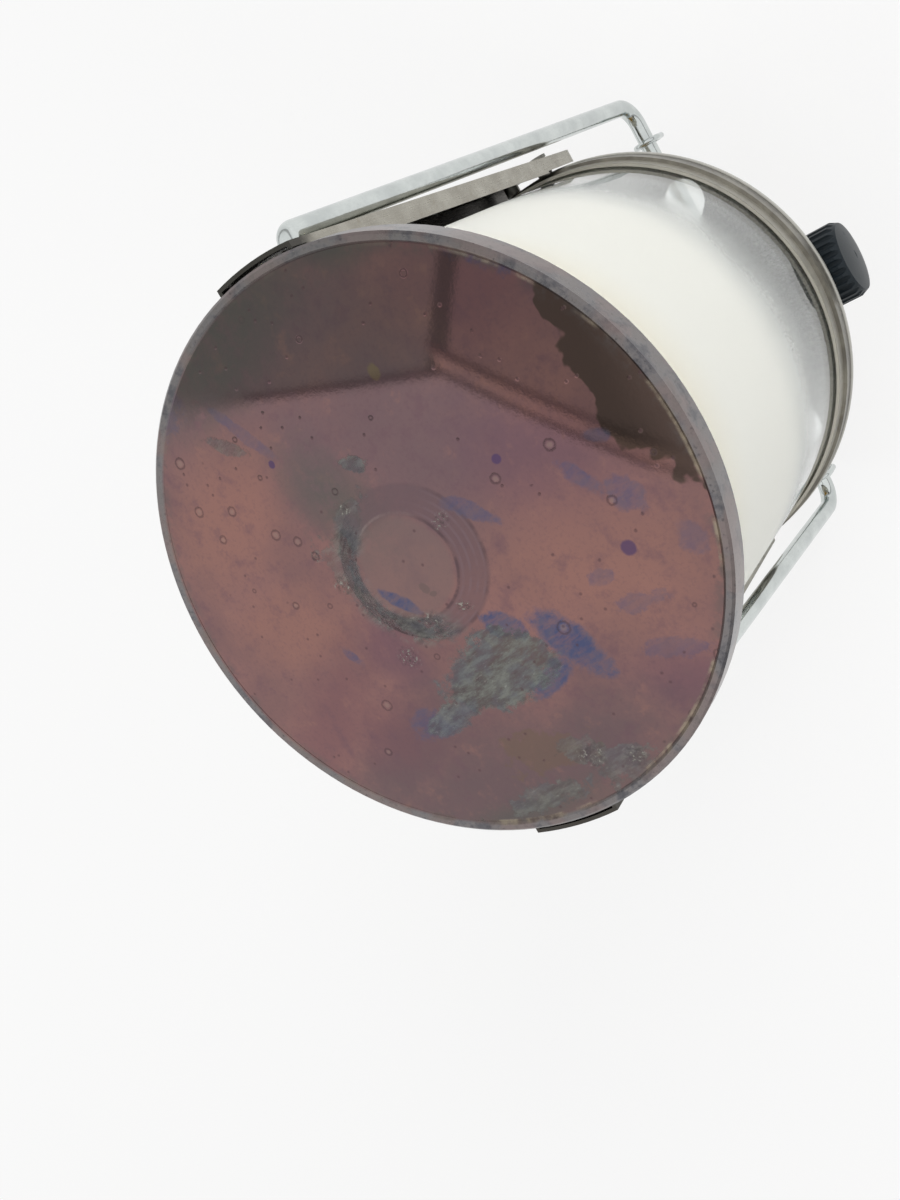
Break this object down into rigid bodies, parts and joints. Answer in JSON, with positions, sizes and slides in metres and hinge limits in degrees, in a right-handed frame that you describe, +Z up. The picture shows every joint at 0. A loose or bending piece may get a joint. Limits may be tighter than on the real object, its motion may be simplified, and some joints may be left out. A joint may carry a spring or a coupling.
{
  "type": "gas lantern head",
  "caption": "Gas camping lantern head with a flat round hood, frosted glass globe, channel struts, swinging wire bail and a side valve knob above a threaded cartridge collar.",
  "frame": {"origin": "centre of the cartridge thread's mouth, on the collar's flat lower face", "axes": "+Z up along the lantern's axis, -Y towards the valve knob, +X towards the right-hand strut seen from the knob"},
  "size_m": [0.131, 0.1185, 0.1818],
  "materials": {
    "tinted_steel": "glossy, heat-tinted brown, rose and blue, with dull scuffs and small round stains",
    "frosted_glass": "frosted white above, fading to clear at the foot",
    "fibre_gasket": "pressed fibre",
    "grimy_steel": "stainless sheet, brown-grey from use, bright on the rolled edge",
    "polished_steel": "polished, lightly hazed",
    "strut_steel": "pressed stainless sheet with a faint beige tint",
    "rivet_steel": "plain",
    "chrome_wire": "bright plated wire",
    "black_plastic": "satin moulded plastic, ribbed",
    "plain_brass": "machined, slightly dulled",
    "black_rubber": "moulded",
    "burner_steel": "heat-browned",
    "mantle_cloth": "fine open weave",
    "cast_aluminium": "cast, grip flutes rubbed brighter"
  },
  "bodies": {
    "lantern": {"globe_glass": "frosted_glass", "globe_gasket": "fibre_gasket", "base_tray": "grimy_steel", "reflector_plate": "polished_steel", "strut_left": "strut_steel", "strut_right": "strut_steel", "strut_rivets": "rivet_steel", "gland_nut": "plain_brass", "spindle_seal": "black_rubber", "valve_body": "plain_brass", "clamp_nut": "plain_brass", "burner_tube": "burner_steel", "gas_jet": "plain_brass", "burner_head": "burner_steel", "mantle": "mantle_cloth", "mantle_tie": "mantle_cloth", "cartridge_collar": "cast_aluminium", "collar_seal": "black_rubber", "depressor_pin": "rivet_steel"},
    "hood": {"hood": "tinted_steel"},
    "bail": {"bail": "chrome_wire"},
    "link_left": {"link_left": "chrome_wire"},
    "link_right": {"link_right": "chrome_wire"},
    "link_end": {"link_end": "chrome_wire"},
    "needle": {"valve_needle": "rivet_steel"},
    "knob": {"knob": "black_plastic", "valve_spindle": "plain_brass"}
  },
  "joints": [
    {"name": "hood_lift", "type": "slide", "parent": "lantern", "child": "hood", "axis": [0, 0, 1], "range_m": [0, 0.06]},
    {"name": "bail_swing", "type": "hinge", "parent": "lantern", "child": "bail", "pos_m": [0, 0, 0.162], "axis": [-1, 0, 0], "range_deg": [0, 346.1]},
    {"name": "link_left_swing", "type": "hinge", "parent": "bail", "child": "link_left", "pos_m": [-0.0535, -0.0181, 0.013], "axis": [-1, 0, 0], "continuous": true},
    {"name": "link_right_swing", "type": "hinge", "parent": "bail", "child": "link_right", "pos_m": [0.0505, -0.0181, 0.013], "axis": [-1, 0, 0], "continuous": true},
    {"name": "link_end_swing", "type": "hinge", "parent": "link_left", "child": "link_end", "pos_m": [-0.0535, -0.0181, 0.00685], "axis": [0, 1, 0], "range_deg": [-80, 80]},
    {"name": "needle_travel", "type": "slide", "parent": "lantern", "child": "needle", "axis": [0, -1, 0], "range_m": [0, 0.00112]},
    {"name": "knob_turn", "type": "hinge", "parent": "needle", "child": "knob", "pos_m": [0, -0.05, 0.0381], "axis": [0, -1, 0], "range_deg": [0, 540]}
  ],
  "couplings": [
    {"joint": "needle_travel", "follows": "knob_turn", "m_per_rad": 0.00011937}
  ]
}
